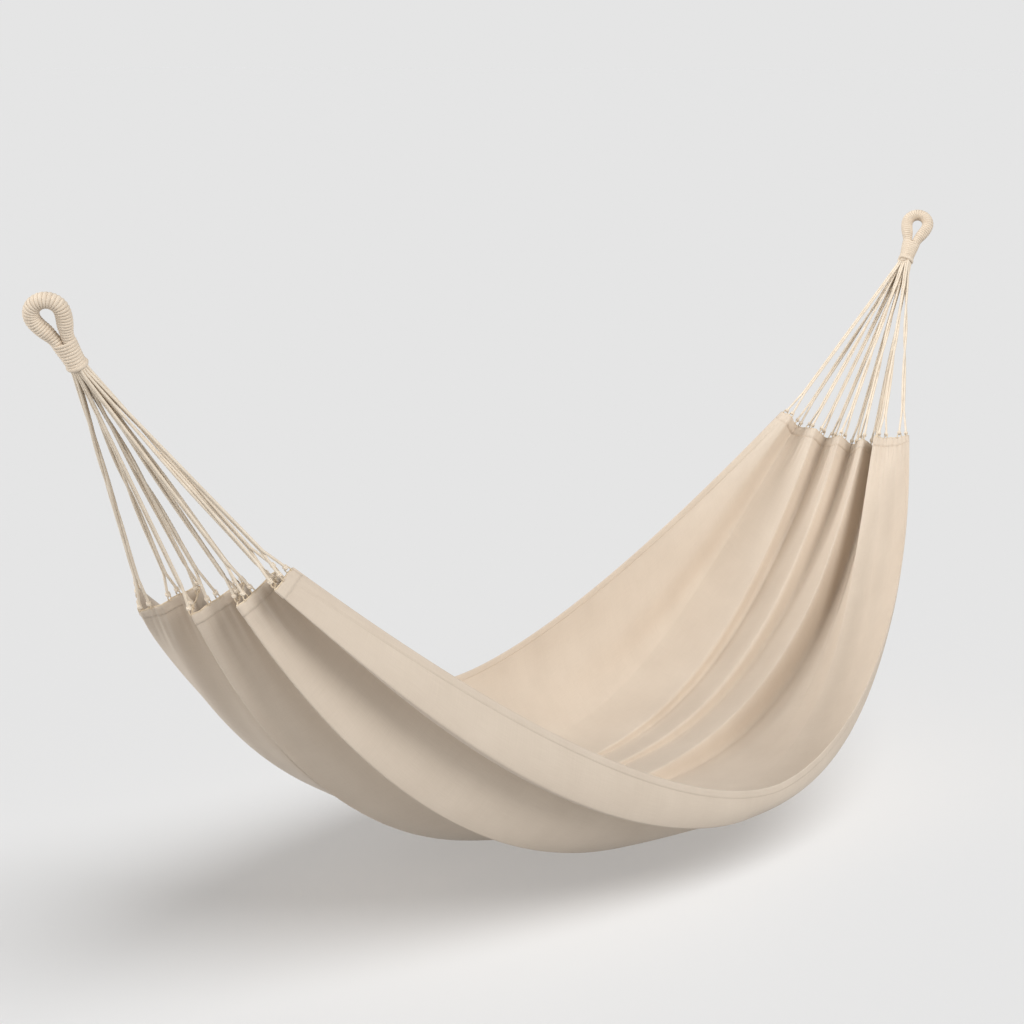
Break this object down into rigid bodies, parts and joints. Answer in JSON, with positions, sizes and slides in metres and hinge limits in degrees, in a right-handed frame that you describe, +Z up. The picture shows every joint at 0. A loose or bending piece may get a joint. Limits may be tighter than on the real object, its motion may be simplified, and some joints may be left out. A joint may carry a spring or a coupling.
{
  "type": "hammock",
  "caption": "Folded cotton sling bed that hangs by fans of doubled strings from a cord-wound eye at each end.",
  "frame": {"origin": "hook seat at the top of the left eye's hole, where the hook carries it", "axes": "+Z up, +X from the left eye to the right eye, -Y the near side, whose edge hangs lower"},
  "size_m": [2.3167, 0.6706, 0.9427],
  "materials": {
    "cotton_cloth": "undyed woven cotton, matt",
    "cotton_hem": "undyed cotton turned over and sewn, matt",
    "cotton_cord": "undyed twisted cotton cord, matt",
    "wound_cord": "undyed cotton cord wound in close turns, matt"
  },
  "bodies": {
    "left_eye": {"left_eye_core": "wound_cord", "left_eye_winding": "wound_cord", "left_neck_winding": "wound_cord"},
    "bed": {"bed_cloth": "cotton_cloth", "near_side_hem": "cotton_hem", "far_side_hem": "cotton_hem", "left_end_hem": "cotton_hem", "left_lacing": "cotton_cord", "left_string_01": "cotton_cord", "left_string_02": "cotton_cord", "left_string_03": "cotton_cord", "left_string_04": "cotton_cord", "left_string_05": "cotton_cord", "left_string_06": "cotton_cord", "left_string_07": "cotton_cord", "left_string_08": "cotton_cord", "left_string_09": "cotton_cord", "left_string_10": "cotton_cord", "left_string_11": "cotton_cord", "left_string_12": "cotton_cord", "right_end_hem": "cotton_hem", "right_lacing": "cotton_cord", "right_string_01": "cotton_cord", "right_string_02": "cotton_cord", "right_string_03": "cotton_cord", "right_string_04": "cotton_cord", "right_string_05": "cotton_cord", "right_string_06": "cotton_cord", "right_string_07": "cotton_cord", "right_string_08": "cotton_cord", "right_string_09": "cotton_cord", "right_string_10": "cotton_cord", "right_string_11": "cotton_cord", "right_string_12": "cotton_cord"},
    "right_eye": {"right_eye_core": "wound_cord", "right_eye_winding": "wound_cord", "right_neck_winding": "wound_cord"}
  },
  "joints": [
    {"name": "swing", "type": "hinge", "parent": "left_eye", "child": "bed", "pos_m": [0.05213, -0.00502, -0.08028], "axis": [1, 0, 0], "range_deg": [-30, 30]},
    {"name": "right_eye_turn", "type": "hinge", "parent": "bed", "child": "right_eye", "pos_m": [2.22213, -0.00502, -0.08028], "axis": [1, 0, 0], "range_deg": [-30, 30]}
  ],
  "couplings": [
    {"joint": "right_eye_turn", "follows": "swing", "ratio": -1}
  ]
}
